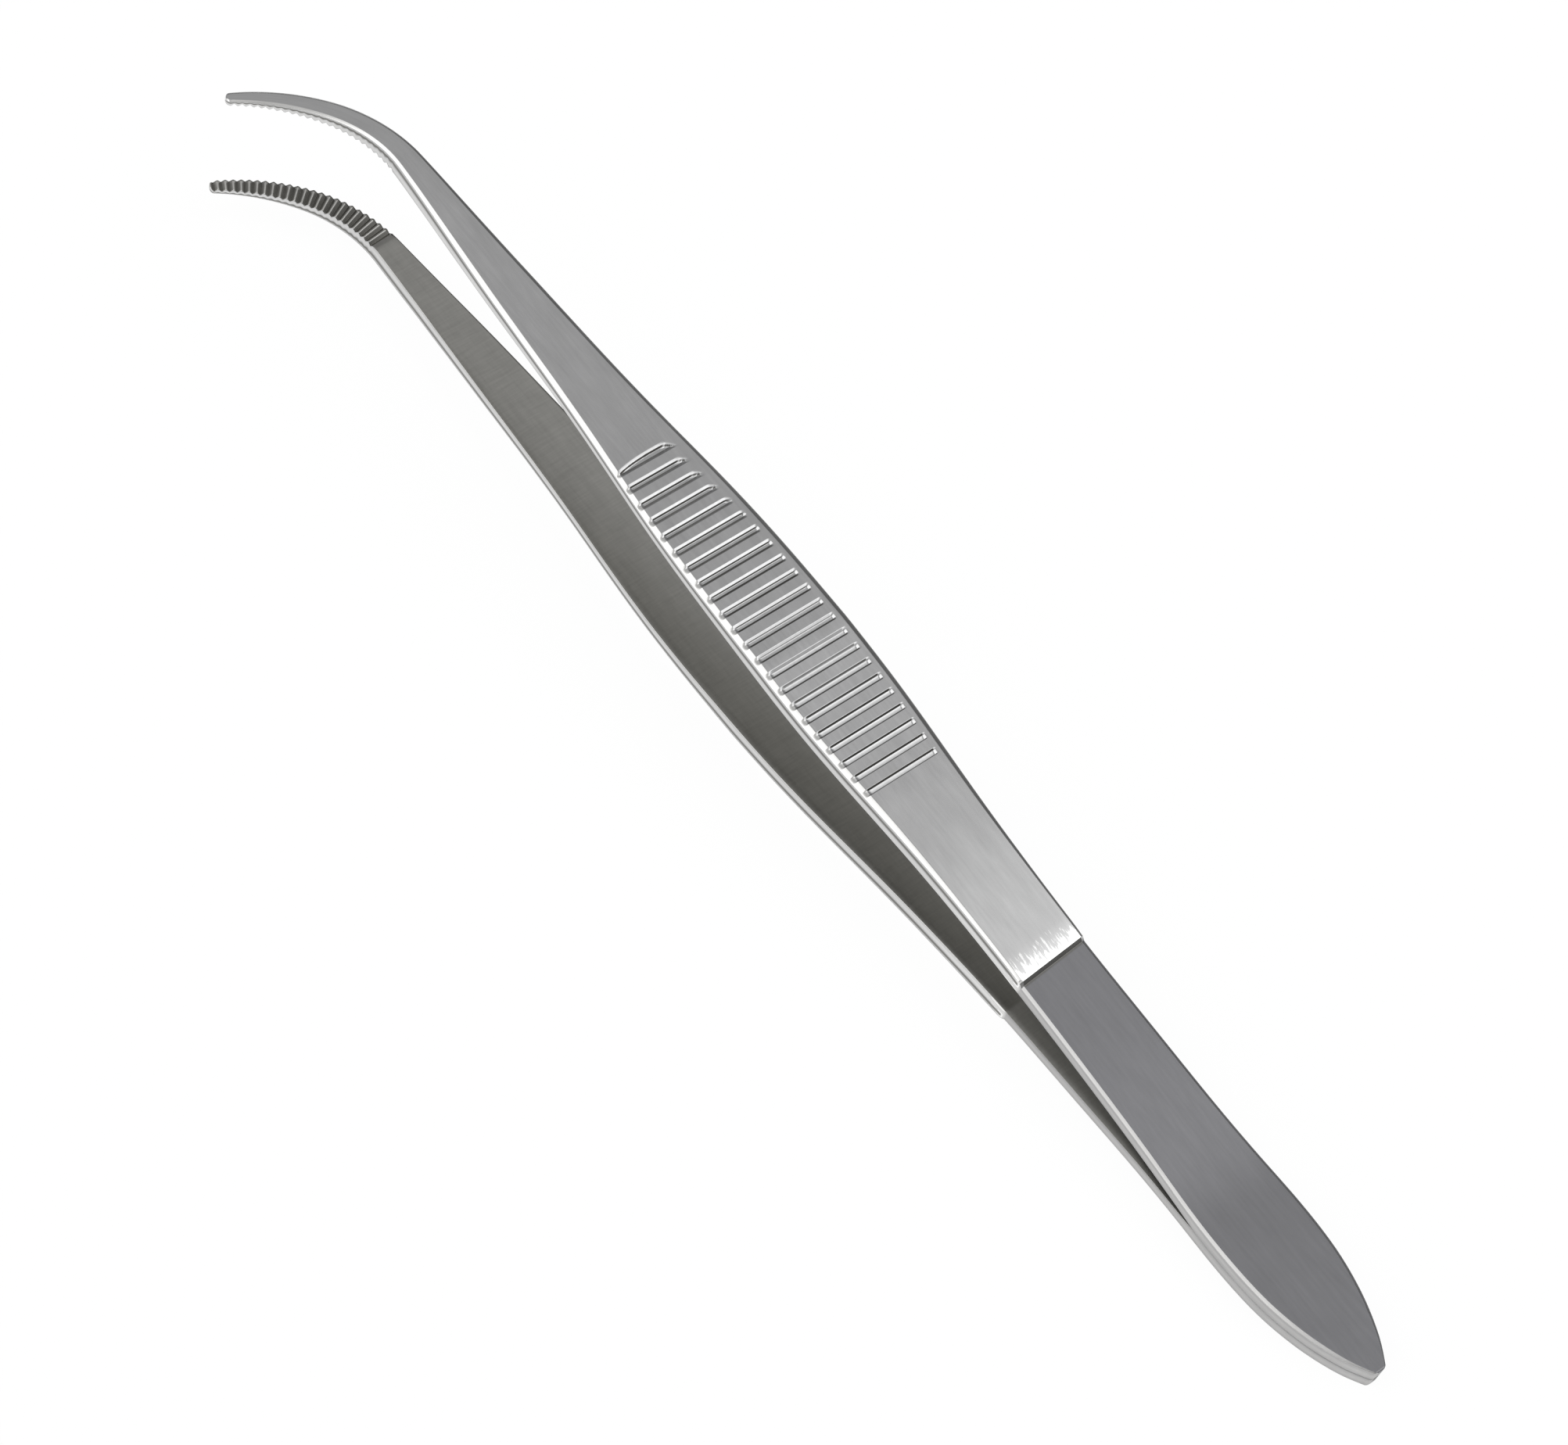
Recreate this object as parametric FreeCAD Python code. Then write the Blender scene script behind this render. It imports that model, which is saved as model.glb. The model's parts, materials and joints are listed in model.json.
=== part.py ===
"""Thumb forceps with curved serrated jaws.

Two spring-steel arms, welded flat to flat in a leaf-shaped heel.  The arms
open from the weld, widen at the cross-grooved grip, and taper to narrow
jaws that curve sideways and carry fine cross teeth on their inner faces.

Design frame: heel tip at x = 0, +X to the jaws, the plane between the two
arms at z = 0, the jaws curving to +Y.  The finished arms are then laid on
the lower arm's outer face, as the forceps rests on a table.
"""
import FreeCAD, Part
import math
import os

Vector = FreeCAD.Vector

# Driving dimensions, in millimetres and degrees.

# Heel and shoulder
WELD_LENGTH = 15.6          # the arms are joined face to face from x = 0 to here
HEEL_THICKNESS = 1.12       # each arm in the welded heel
HEEL_EDGE_BREAK = 0.14      # flat ground on the heel's outer edges
HEEL_CORNER_RADIUS = 0.22   # plan corners of the blunt heel tip
SHOULDER_X = 36.35          # foot of the step from heel to body, on the axis
SHOULDER_SKEW = 3.5         # the step's slant across the arm, from square
SHOULDER_RUN = 0.26         # length of the step's slope
BODY_EDGE_BREAK = 0.24      # flat ground on the outer edges past the shoulder

# Half-width of an arm, by distance along its centreline
HALF_WIDTHS = [
    (0.0, 0.47), (1.5, 1.42), (3.0, 2.13), (4.5, 2.68), (6.0, 3.09),
    (8.0, 3.48), (10.5, 3.71), (13.5, 3.76), (17.0, 3.64), (20.5, 3.47),
    (24.5, 3.35), (29.0, 3.27), (34.0, 3.20), (39.0, 3.20), (44.0, 3.31),
    (48.0, 3.48), (52.0, 3.73), (56.0, 4.00), (60.0, 4.19), (64.0, 4.24),
    (68.0, 4.19), (72.0, 4.10), (76.0, 3.93), (80.0, 3.64), (84.0, 3.25),
    (88.0, 2.86), (92.0, 2.54), (96.0, 2.28), (100.0, 2.03), (104.0, 1.75),
    (108.0, 1.45), (112.0, 1.17), (115.0, 0.99), (118.0, 0.87),
    (121.5, 0.76), (125.0, 0.62), (128.7, 0.43),
]

# Inner face above the plane between the arms, from the end of the weld
INNER_HEIGHTS = [
    (20.0, 0.36), (24.0, 0.70), (28.0, 1.03), (32.0, 1.31), (36.0, 1.57),
    (40.0, 1.85), (44.0, 2.15), (48.0, 2.43), (52.0, 2.69), (56.0, 2.95),
    (60.0, 3.21), (64.0, 3.48), (68.0, 3.74), (72.0, 3.98), (76.0, 4.14),
    (80.0, 4.25), (84.0, 4.36), (88.0, 4.46), (92.0, 4.54), (98.0, 4.62),
    (104.0, 4.71), (110.0, 4.86), (116.0, 5.04), (121.0, 5.21), (127.0, 5.44),
]

# Outer face of the body, from behind the shoulder to the knee and from the
# knee to past the tip.  The knee is a blunt crest across the grip, midway
# between two grooves; the forceps rests on it and on the heel's end.
KNEE = (65.755, 4.96)
REAR_HEIGHTS = [
    (34.0, 2.76), (37.0, 2.99), (40.0, 3.22), (44.0, 3.53), (48.0, 3.82),
    (52.0, 4.08), (56.0, 4.31), (60.0, 4.55), (63.0, 4.75), KNEE,
]
FRONT_HEIGHTS = [
    KNEE, (69.0, 5.06), (72.0, 5.15), (76.0, 5.23), (80.0, 5.28),
    (84.0, 5.35), (88.0, 5.45), (92.0, 5.56), (98.0, 5.73), (104.0, 5.96),
    (109.0, 6.23), (113.0, 6.40), (116.0, 6.39), (119.0, 6.25),
    (122.5, 6.06), (127.0, 5.80),
]

# Outer face of the heel past its flat, up to the shoulder
HEEL_HEIGHTS = [
    (16.5, 1.155), (20.0, 1.38), (24.0, 1.71), (28.0, 2.03), (32.0, 2.31),
    (37.0, 2.65),
]
HEEL_FLAT = 13.5            # length of the heel's flat outer face

# Sideways curve of the jaws: two arcs after the straight part
BEND_START = 113.4
BEND_ONE_RADIUS = 11.7
BEND_ONE_ANGLE = 38.0
BEND_TWO_RADIUS = 17.2
BEND_TWO_ANGLE = 25.2
TIP_CORNER_RADIUS = 0.37    # plan corners of the jaw tip

# Grip grooves across the outer face
GROOVE_COUNT = 22
GROOVE_FIRST_X = 53.6
GROOVE_PITCH = 1.43
GROOVE_WIDTH = 0.92         # at the face
GROOVE_FLOOR_WIDTH = 0.58
GROOVE_DEPTH = 0.17
GROOVE_MARGIN = 0.62        # face left between a groove's end and the -Y edge
GROOVE_BOW = 0.32           # how far the last groove's jaw-side wall bows out
GROOVE_CORNER_SHARE = 0.55  # clipped corner at a groove's end, by its half-width
CUTTER_RISE = 0.1           # how far a cutting tool stands above the face

# Cross teeth of the jaws
TOOTH_PITCH = 0.6
TOOTH_DEPTH = 0.24
TOOTH_NOTCH_WIDTH = 0.5
TOOTH_START = 114.3         # first notch of the upper jaw, along the centreline

# Construction helpers
SPARE = 2.0                 # how far a tool reaches beyond any face of the arm
SIDE_SPREAD = 15.0          # half-width of the side-view solids
NEAR = 0.01                 # how close a point counts as lying on a face


def law(stations):
    """Smooth curve through (position, height) pairs, in the XZ plane.

    The curve's parameter is the position itself.
    """
    curve = Part.BSplineCurve()
    curve.interpolate(Points=[Vector(x, 0, z) for x, z in stations],
                      Parameters=[float(x) for x, z in stations])
    return curve


WIDTH_LAW = law(HALF_WIDTHS)
INNER_LAW = law([(WELD_LENGTH, 0.0)] + INNER_HEIGHTS)
REAR_LAW = law(REAR_HEIGHTS)
FRONT_LAW = law(FRONT_HEIGHTS)
HEEL_LAW = law([(HEEL_FLAT, HEEL_THICKNESS)] + HEEL_HEIGHTS)


def half_width(s):
    """Half-width of the arm at the distance s along the centreline."""
    return WIDTH_LAW.value(s).z


def centreline(s):
    """Point, heading in radians and left-hand normal at the distance s."""
    heading = 0.0
    point = Vector(min(s, BEND_START), 0, 0)
    left = s - BEND_START
    for radius, angle in ((BEND_ONE_RADIUS, BEND_ONE_ANGLE),
                          (BEND_TWO_RADIUS, BEND_TWO_ANGLE)):
        if left <= 0:
            break
        turn = min(left / radius, math.radians(angle))
        point += Vector(
            radius * (math.sin(heading + turn) - math.sin(heading)),
            radius * (math.cos(heading) - math.cos(heading + turn)), 0)
        heading += turn
        left -= radius * math.radians(angle)
    return point, heading, Vector(-math.sin(heading), math.cos(heading), 0)


def jaw_end():
    """Length of the whole centreline, from heel tip to jaw tip."""
    return (BEND_START + BEND_ONE_RADIUS * math.radians(BEND_ONE_ANGLE)
            + BEND_TWO_RADIUS * math.radians(BEND_TWO_ANGLE))


def plan_face():
    """Flat outline of the arm, with its end corners rounded."""
    stops = [s for s, w in HALF_WIDTHS[:-1]] + [jaw_end()]
    sides = []
    for side in (1, -1):
        points = []
        for s in stops:
            point, heading, normal = centreline(s)
            points.append(point + normal * (side * half_width(s)))
        curve = Part.BSplineCurve()
        curve.interpolate(points)
        sides.append(curve.toShape())
    ends = [Part.makeLine(sides[1].firstVertex().Point,
                          sides[0].firstVertex().Point),
            Part.makeLine(sides[0].lastVertex().Point,
                          sides[1].lastVertex().Point)]
    solid = Part.Face(Part.Wire([sides[0], ends[1], sides[1], ends[0]])
                      ).extrude(Vector(0, 0, SPARE))
    for radius, at_heel in ((HEEL_CORNER_RADIUS, True),
                            (TIP_CORNER_RADIUS, False)):
        corners = [e for e in solid.Edges
                   if abs(e.firstVertex().Z - e.lastVertex().Z) > NEAR
                   and (e.CenterOfMass.x < SHOULDER_X) == at_heel]
        solid = solid.makeFillet(radius, corners)
    return [f for f in solid.Faces if f.CenterOfMass.z < NEAR][0]


def side_solid(lower, upper):
    """Solid between two lines of XZ edges, spread wide in Y."""
    start = [lower[0].firstVertex().Point, upper[0].firstVertex().Point]
    end = [lower[-1].lastVertex().Point, upper[-1].lastVertex().Point]
    wire = Part.Wire([Part.makeLine(*start)] + upper
                     + [Part.makeLine(*reversed(end))] + lower[::-1])
    face = Part.Face(wire)
    face.translate(Vector(0, -SIDE_SPREAD, 0))
    return face.extrude(Vector(0, 2 * SIDE_SPREAD, 0))


def shoulder_tool():
    """Everything on the heel side of the skewed, sloping shoulder."""
    reach = SHOULDER_X + SPARE
    foot = SHOULDER_X
    drop = HEEL_LAW.value(foot).z
    step = body_height(foot + SHOULDER_RUN) - drop
    slope = SHOULDER_RUN / step
    low, high = drop - SPARE * 2, drop + SPARE * 2
    wire = Part.makePolygon([
        Vector(foot - reach, 0, low),
        Vector(foot - slope * (drop - low), 0, low),
        Vector(foot + slope * (high - drop), 0, high),
        Vector(foot - reach, 0, high), Vector(foot - reach, 0, low)])
    face = Part.Face(wire)
    face.translate(Vector(0, -reach, 0))
    tool = face.extrude(Vector(0, 2 * reach, 0))
    tool.rotate(Vector(foot, 0, 0), Vector(0, 0, 1), SHOULDER_SKEW)
    return tool


def break_edges(solid, size, height, kept):
    """Grind the edges between the outer face and the walls around it.

    The edges across the arm at the places in kept stay sharp.
    """
    picked = []
    for edge in solid.Edges:
        mid = edge.valueAt((edge.FirstParameter + edge.LastParameter) / 2)
        across = any(abs(mid.x - x) < NEAR for x in kept)
        if not across and abs(mid.z - height(mid.x)) < NEAR:
            picked.append(edge)
    return solid.makeChamfer(size, picked)


def heel_height(x):
    """Height of the heel's outer face at x."""
    return HEEL_THICKNESS if x < HEEL_FLAT else HEEL_LAW.value(x).z


def body_height(x):
    """Height of the body's outer face at x."""
    return (REAR_LAW if x < KNEE[0] else FRONT_LAW).value(x).z


def blank():
    """One arm before its grooves and teeth are cut."""
    prism = plan_face().extrude(
        Vector(0, 0, max(z for x, z in FRONT_HEIGHTS) + SPARE))
    heel_reach = HEEL_HEIGHTS[-1][0]
    heel = prism.common(side_solid(
        [Part.makeLine(Vector(-SPARE, 0, 0), Vector(WELD_LENGTH, 0, 0)),
         INNER_LAW.toShape(WELD_LENGTH, heel_reach)],
        [Part.makeLine(Vector(-SPARE, 0, HEEL_THICKNESS),
                       Vector(HEEL_FLAT, 0, HEEL_THICKNESS)),
         HEEL_LAW.toShape(HEEL_FLAT, heel_reach)]))
    heel = break_edges(heel, HEEL_EDGE_BREAK, heel_height, [heel_reach])
    body_start, body_reach = REAR_HEIGHTS[0][0], FRONT_HEIGHTS[-1][0]
    body = prism.common(side_solid(
        [INNER_LAW.toShape(body_start, body_reach)],
        [REAR_LAW.toShape(body_start, KNEE[0]),
         FRONT_LAW.toShape(KNEE[0], body_reach)]))
    body = break_edges(body, BODY_EDGE_BREAK, body_height,
                       [body_start, KNEE[0]])
    return heel.fuse(body.cut(shoulder_tool())).removeSplitter()


def groove_cutter(index):
    """Tapered tool for one grip groove, counted from the heel."""
    x = GROOVE_FIRST_X + index * GROOVE_PITCH
    top_half = GROOVE_WIDTH / 2
    slope = math.atan2(body_height(x + top_half) - body_height(x - top_half),
                       GROOVE_WIDTH)
    flare = (GROOVE_WIDTH - GROOVE_FLOOR_WIDTH) / 2 / GROOVE_DEPTH
    right = -half_width(x) + GROOVE_MARGIN
    left = half_width(x) + SPARE
    bow = GROOVE_BOW if index == GROOVE_COUNT - 1 else 0.0
    wires = []
    for height in (CUTTER_RISE, -GROOVE_DEPTH):
        half = top_half + flare * height
        wires.append(groove_wire(half, right + top_half - half, left, bow,
                                 height))
    tool = Part.makeLoft(wires, True, True)
    tool.rotate(Vector(0, 0, 0), Vector(0, 1, 0), -math.degrees(slope))
    tool.translate(Vector(x, 0, body_height(x)))
    return tool


def groove_wire(half, right, left, bow, height):
    """Outline of a groove at one height, with clipped corners at -Y."""
    clip = half * GROOVE_CORNER_SHARE
    corners = [(-half, left), (-half, right + clip), (clip - half, right),
               (half - clip, right), (half, right + clip), (half, left)]
    points = [Vector(x, y, height) for x, y in corners]
    edges = [Part.makeLine(a, b) for a, b in zip(points[:4], points[1:5])]
    if bow:
        middle = Vector(half + bow, (right + left) / 2, height)
        edges.append(Part.Arc(points[4], middle, points[5]).toShape())
    else:
        edges.append(Part.makeLine(points[4], points[5]))
    edges.append(Part.makeLine(points[5], points[0]))
    return Part.Wire(edges)


def tooth_cutters(first):
    """V-shaped tools across the jaw, square to its centreline."""
    tools = []
    s = first
    half = TOOTH_NOTCH_WIDTH / 2
    while s < jaw_end() - half:
        point, heading, normal = centreline(s)
        height = INNER_LAW.value(point.x).z
        flare = half * (TOOTH_DEPTH + CUTTER_RISE) / TOOTH_DEPTH
        wire = Part.makePolygon([
            Vector(-flare, 0, -CUTTER_RISE), Vector(flare, 0, -CUTTER_RISE),
            Vector(0, 0, TOOTH_DEPTH), Vector(-flare, 0, -CUTTER_RISE)])
        face = Part.Face(wire)
        face.translate(Vector(0, -SPARE, 0))
        tool = face.extrude(Vector(0, 2 * SPARE, 0))
        tool.rotate(Vector(0, 0, 0), Vector(0, 0, 1), math.degrees(heading))
        tool.translate(Vector(point.x, point.y, height))
        tools.append(tool)
        s += TOOTH_PITCH
    return tools


def arm(first_tooth):
    """One finished arm above the plane between the arms."""
    tools = [groove_cutter(index) for index in range(GROOVE_COUNT)]
    return blank().cut(tools + tooth_cutters(first_tooth))


def rest_angle():
    """Angle that brings the heel's end and the knee onto one plane."""
    return math.atan2(KNEE[1] - HEEL_THICKNESS, KNEE[0] - HEEL_EDGE_BREAK)


def lay_down(shapes):
    """Turn and shift the arms so that the forceps rests on z = 0."""
    for shape in shapes:
        shape.rotate(Vector(0, 0, 0), Vector(0, 1, 0),
                     -math.degrees(rest_angle()))
    box = Part.makeCompound(shapes).optimalBoundingBox(False, False)
    shift = Vector(-box.Center.x, -box.Center.y, -box.ZMin)
    for shape in shapes:
        shape.translate(shift)
    print("rest angle %.6f rad, shift" % rest_angle(), shift)


def main():
    """Build both arms and write one STEP file for each."""
    upper = arm(TOOTH_START)
    lower = arm(TOOTH_START + TOOTH_PITCH / 2).mirror(
        Vector(0, 0, 0), Vector(0, 0, 1))
    lay_down([upper, lower])
    os.makedirs("parts", exist_ok=True)
    for node, shape in (("upper_arm", upper), ("lower_arm", lower)):
        shape.exportStep("parts/%s.step" % node)
        print(node, shape.ShapeType, "valid", shape.isValid(),
              "solids", len(shape.Solids), "volume %.2f" % shape.Volume,
              "box", shape.BoundBox)


main()
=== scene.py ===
"""Thumb forceps with curved serrated jaws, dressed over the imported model.

Every length in the classes is in millimetres in the design frame: heel tip
at x = 0, +X to the jaws, the plane between the arms at z = 0.  ``RestFrame``
carries points from there to the row's frame, in metres.
"""
from __future__ import annotations

import bisect
import json
import logging
import math
from dataclasses import dataclass, field
from enum import Enum
from typing import NamedTuple

import bmesh
import bpy
from mathutils import Matrix, Vector

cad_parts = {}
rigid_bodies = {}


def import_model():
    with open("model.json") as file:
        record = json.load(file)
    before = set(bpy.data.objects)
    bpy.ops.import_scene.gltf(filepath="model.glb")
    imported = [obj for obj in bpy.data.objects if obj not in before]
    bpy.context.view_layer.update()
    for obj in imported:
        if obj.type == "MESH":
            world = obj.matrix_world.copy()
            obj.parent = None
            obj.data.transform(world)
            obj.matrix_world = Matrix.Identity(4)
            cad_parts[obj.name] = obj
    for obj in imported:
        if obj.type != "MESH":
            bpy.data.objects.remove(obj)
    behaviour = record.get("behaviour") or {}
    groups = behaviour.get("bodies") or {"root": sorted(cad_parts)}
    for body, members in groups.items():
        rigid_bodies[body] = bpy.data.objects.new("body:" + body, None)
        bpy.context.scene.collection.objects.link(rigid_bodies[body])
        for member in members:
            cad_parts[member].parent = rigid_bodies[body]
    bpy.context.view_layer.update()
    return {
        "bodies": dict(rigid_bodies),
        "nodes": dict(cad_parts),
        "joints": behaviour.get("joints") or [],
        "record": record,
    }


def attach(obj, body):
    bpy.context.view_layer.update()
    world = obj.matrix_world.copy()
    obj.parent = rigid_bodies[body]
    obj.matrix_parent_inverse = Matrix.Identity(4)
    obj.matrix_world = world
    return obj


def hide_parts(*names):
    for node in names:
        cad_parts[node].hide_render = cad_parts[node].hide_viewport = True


LOG = logging.getLogger("forceps")
MM = 0.001
WELD = 1e-5


class Side(Enum):
    """Which of the two mirrored arms is meant, as the sign of its height."""

    UPPER = 1
    LOWER = -1


class Curve:
    """Smooth curve through stations, a natural cubic spline."""

    def __init__(self, stations: list[tuple[float, float]]) -> None:
        """Solve the spline's second derivatives.

        Args:
            stations: Position and value pairs, in rising order.
        """
        self.xs = [s[0] for s in stations]
        self.ys = [s[1] for s in stations]
        count = len(self.xs)
        self.bend = [0.0] * count
        lower, right = [0.0] * count, [0.0] * count
        for i in range(1, count - 1):
            before = self.xs[i] - self.xs[i - 1]
            after = self.xs[i + 1] - self.xs[i]
            rise = (self.ys[i + 1] - self.ys[i]) / after
            rise -= (self.ys[i] - self.ys[i - 1]) / before
            pivot = 2 * (before + after) - before * lower[i - 1]
            lower[i] = after / pivot
            right[i] = (6 * rise - before * right[i - 1]) / pivot
        for i in range(count - 2, 0, -1):
            self.bend[i] = right[i] - lower[i] * self.bend[i + 1]

    def __call__(self, x: float) -> float:
        """Value at x; straight on past either end.

        Args:
            x: Position along the curve.

        Returns:
            The value there.
        """
        i = min(max(bisect.bisect(self.xs, x) - 1, 0), len(self.xs) - 2)
        x0, x1 = self.xs[i], self.xs[i + 1]
        y0, y1, width = self.ys[i], self.ys[i + 1], x1 - x0
        b0, b1 = self.bend[i], self.bend[i + 1]
        if x < x0:
            return y0 + (x - x0) * ((y1 - y0) / width
                                    - width * (2 * b0 + b1) / 6)
        if x > x1:
            return y1 + (x - x1) * ((y1 - y0) / width
                                    + width * (b0 + 2 * b1) / 6)
        a, b = (x1 - x) / width, (x - x0) / width
        return (a * y0 + b * y1
                + ((a ** 3 - a) * b0 + (b ** 3 - b) * b1) * width ** 2 / 6)


def smooth(value: float, low: float, high: float) -> float:
    """Smooth step from 0 at low to 1 at high.

    Args:
        value: The position.
        low: Where the step starts.
        high: Where the step ends.

    Returns:
        A number from 0 to 1.
    """
    t = min(max((value - low) / (high - low), 0.0), 1.0)
    return t * t * (3 - 2 * t)


def rounding(gap: float, radius: float) -> float:
    """How far a rounded corner lies inside the sharp one.

    Args:
        gap: Distance from the corner's end.
        radius: Radius of the corner.

    Returns:
        The distance between the two, 0 past the radius.
    """
    if gap >= radius:
        return 0.0
    return radius - math.sqrt(max(radius ** 2 - (radius - gap) ** 2, 0.0))


def rows(start: float, step: float, count: int) -> list[float]:
    """Evenly spaced positions."""
    return [start + step * i for i in range(count)]


@dataclass(frozen=True)
class RestFrame:
    """Place of the design frame when the forceps lies on its lower arm."""

    angle: float = 0.058457
    shift: Vector = field(
        default_factory=lambda: Vector((-62.845844, -2.058543, 1.109908)))

    def matrix(self) -> Matrix:
        """Matrix from design millimetres to the row's metres."""
        turn = Matrix.Rotation(-self.angle, 4, "Y")
        return Matrix.Scale(MM, 4) @ Matrix.Translation(self.shift) @ turn


@dataclass
class ArmShape:
    """Sizes of one arm, and the surfaces that follow from them.

    The lists are stations along the arm: half-widths in plan, heights of
    the inner face, and heights of the outer face on the heel and on the
    body to the rear and to the front of its knee.
    """

    weld: float = 15.6
    heel_thickness: float = 1.12
    heel_flat: float = 13.5
    # Width and fall of the worn outer edges.
    heel_edge: tuple[float, float] = (0.28, 0.15)
    body_edge: tuple[float, float] = (0.5, 0.225)
    # Where the edges widen past the shoulder and narrow past the grip, and
    # the shares of their width that are missing before and after.
    edge_growth: tuple[float, float] = (38.0, 56.0)
    edge_loss: tuple[float, float] = (74.0, 84.0)
    edge_missing: tuple[float, float] = (0.5, 0.2)
    # Share of the edges at no width and its rise, and their largest part of
    # the half-width.
    edge_on_narrow: tuple[float, float] = (0.25, 0.3)
    edge_most: float = 0.7
    shoulder: float = 36.35
    shoulder_skew: float = 3.5
    shoulder_run: float = 0.27
    shoulder_spread: float = 1.0
    # Length and depth of the rounding on top of the shoulder.
    shoulder_lip: tuple[float, float] = (1.8, 0.075)
    # Distances from the foot, then from the top, of the painted shade in the
    # shoulder's corner.
    shade_foot: tuple[float, float] = (-0.3, -0.02)
    shade_top: tuple[float, float] = (-0.04, 0.01)
    bend_start: float = 113.4
    # Radius and angle of each bend of the jaw.
    bends: tuple[tuple[float, float], ...] = ((11.7, 38.0), (17.2, 25.2))
    heel_corner: float = 0.22
    tip_corner: float = 0.37
    # Size of the inner edges, and its largest part of the half-width.
    inner_edge: tuple[float, float] = (0.05, 0.2)
    half_widths: list[tuple[float, float]] = field(default_factory=lambda: [
        (0.0, 0.47), (1.5, 1.42), (3.0, 2.13), (4.5, 2.68), (6.0, 3.09),
        (8.0, 3.48), (10.5, 3.71), (13.5, 3.76), (17.0, 3.64), (20.5, 3.47),
        (24.5, 3.35), (29.0, 3.27), (34.0, 3.20), (39.0, 3.20), (44.0, 3.31),
        (48.0, 3.48), (52.0, 3.73), (56.0, 4.00), (60.0, 4.19), (64.0, 4.24),
        (68.0, 4.19), (72.0, 4.10), (76.0, 3.93), (80.0, 3.64), (84.0, 3.25),
        (88.0, 2.86), (92.0, 2.54), (96.0, 2.28), (100.0, 2.03),
        (104.0, 1.75), (108.0, 1.45), (112.0, 1.17), (115.0, 0.99),
        (118.0, 0.87), (121.5, 0.76), (125.0, 0.62), (128.7, 0.43)])
    inner: list[tuple[float, float]] = field(default_factory=lambda: [
        (15.6, 0.0), (16.3, 0.08), (20.0, 0.37), (24.0, 0.70), (28.0, 1.03),
        (32.0, 1.31), (36.0, 1.57), (40.0, 1.85), (44.0, 2.15), (48.0, 2.43),
        (52.0, 2.69), (56.0, 2.95), (60.0, 3.21), (64.0, 3.48), (68.0, 3.74),
        (72.0, 3.98), (76.0, 4.14), (80.0, 4.25), (84.0, 4.36), (88.0, 4.46),
        (92.0, 4.54), (98.0, 4.62), (104.0, 4.71), (110.0, 4.86),
        (116.0, 5.04), (121.0, 5.21), (127.0, 5.44)])
    knee: float = 65.755
    rear: list[tuple[float, float]] = field(default_factory=lambda: [
        (34.0, 2.76), (37.0, 2.99), (40.0, 3.22), (44.0, 3.53), (48.0, 3.82),
        (52.0, 4.08), (56.0, 4.31), (60.0, 4.55), (63.0, 4.75),
        (65.755, 4.96)])
    front: list[tuple[float, float]] = field(default_factory=lambda: [
        (65.755, 4.96), (69.0, 5.06), (72.0, 5.15), (76.0, 5.23),
        (80.0, 5.28), (84.0, 5.35), (88.0, 5.45), (92.0, 5.56), (98.0, 5.73),
        (104.0, 5.96), (109.0, 6.23), (113.0, 6.40), (116.0, 6.39),
        (119.0, 6.25), (122.5, 6.06), (127.0, 5.80)])
    heel: list[tuple[float, float]] = field(default_factory=lambda: [
        (13.5, 1.12), (16.5, 1.155), (20.0, 1.38), (24.0, 1.71),
        (28.0, 2.03), (32.0, 2.31), (37.0, 2.65)])

    def __post_init__(self) -> None:
        """Make the smooth curves from the station lists."""
        self.width_at = Curve(self.half_widths)
        self.inner_at = Curve(self.inner)
        self.rear_at = Curve(self.rear)
        self.front_at = Curve(self.front)
        self.heel_at = Curve(self.heel)

    @property
    def length(self) -> float:
        """Length of the centreline from heel tip to jaw tip."""
        return self.bend_start + sum(r * math.radians(a)
                                     for r, a in self.bends)

    def centreline(self, s: float) -> tuple[Vector, float]:
        """Point and heading of the centreline.

        Args:
            s: Distance from the heel tip, along the centreline.

        Returns:
            The point, in plan, and the heading in radians.
        """
        heading = 0.0
        point = Vector((min(s, self.bend_start), 0.0))
        left = s - self.bend_start
        for radius, angle in self.bends:
            if left <= 0:
                break
            turn = min(left / radius, math.radians(angle))
            end = heading + turn
            point += Vector((
                radius * (math.sin(end) - math.sin(heading)),
                radius * (math.cos(heading) - math.cos(end))))
            heading = end
            left -= radius * math.radians(angle)
        return point, heading

    def half_width(self, s: float) -> float:
        """Half-width with the rounded plan corners of both ends."""
        return (self.width_at(s) - rounding(s, self.heel_corner)
                - rounding(self.length - s, self.tip_corner))

    def end_drop(self, s: float) -> float:
        """How far the outer face falls at both rounded ends."""
        radius = self.heel_edge[1]
        return rounding(s, radius) + rounding(self.length - s, radius)

    def outer_edge(self, s: float, x: float,
                   width: float) -> tuple[float, float]:
        """Width and fall of the rounded outer edges.

        Args:
            s: Distance from the heel tip, along the centreline.
            x: Place of that point along the arm.
            width: Half-width of the arm there.

        Returns:
            How wide the edges are, and how far they fall.
        """
        share = self.body_share(x, 0.0)
        edge, fall = (a + (b - a) * share
                      for a, b in zip(self.heel_edge, self.body_edge))
        before, after = self.edge_missing
        slim = (1 - before * share * (1 - smooth(s, *self.edge_growth))
                - after * smooth(s, *self.edge_loss))
        least, rise = self.edge_on_narrow
        shrink = min(slim, least + rise * width,
                     width * self.edge_most / edge)
        return edge * shrink, fall * shrink

    def past_shoulder(self, x: float, y: float) -> float:
        """Distance past the foot of the skewed shoulder."""
        foot = self.shoulder - y * math.tan(math.radians(self.shoulder_skew))
        return x - foot

    def body_share(self, x: float, y: float) -> float:
        """How far the shoulder's step has risen, from 0 to 1."""
        return min(max(self.past_shoulder(x, y) / self.shoulder_run, 0.0),
                   1.0)

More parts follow.
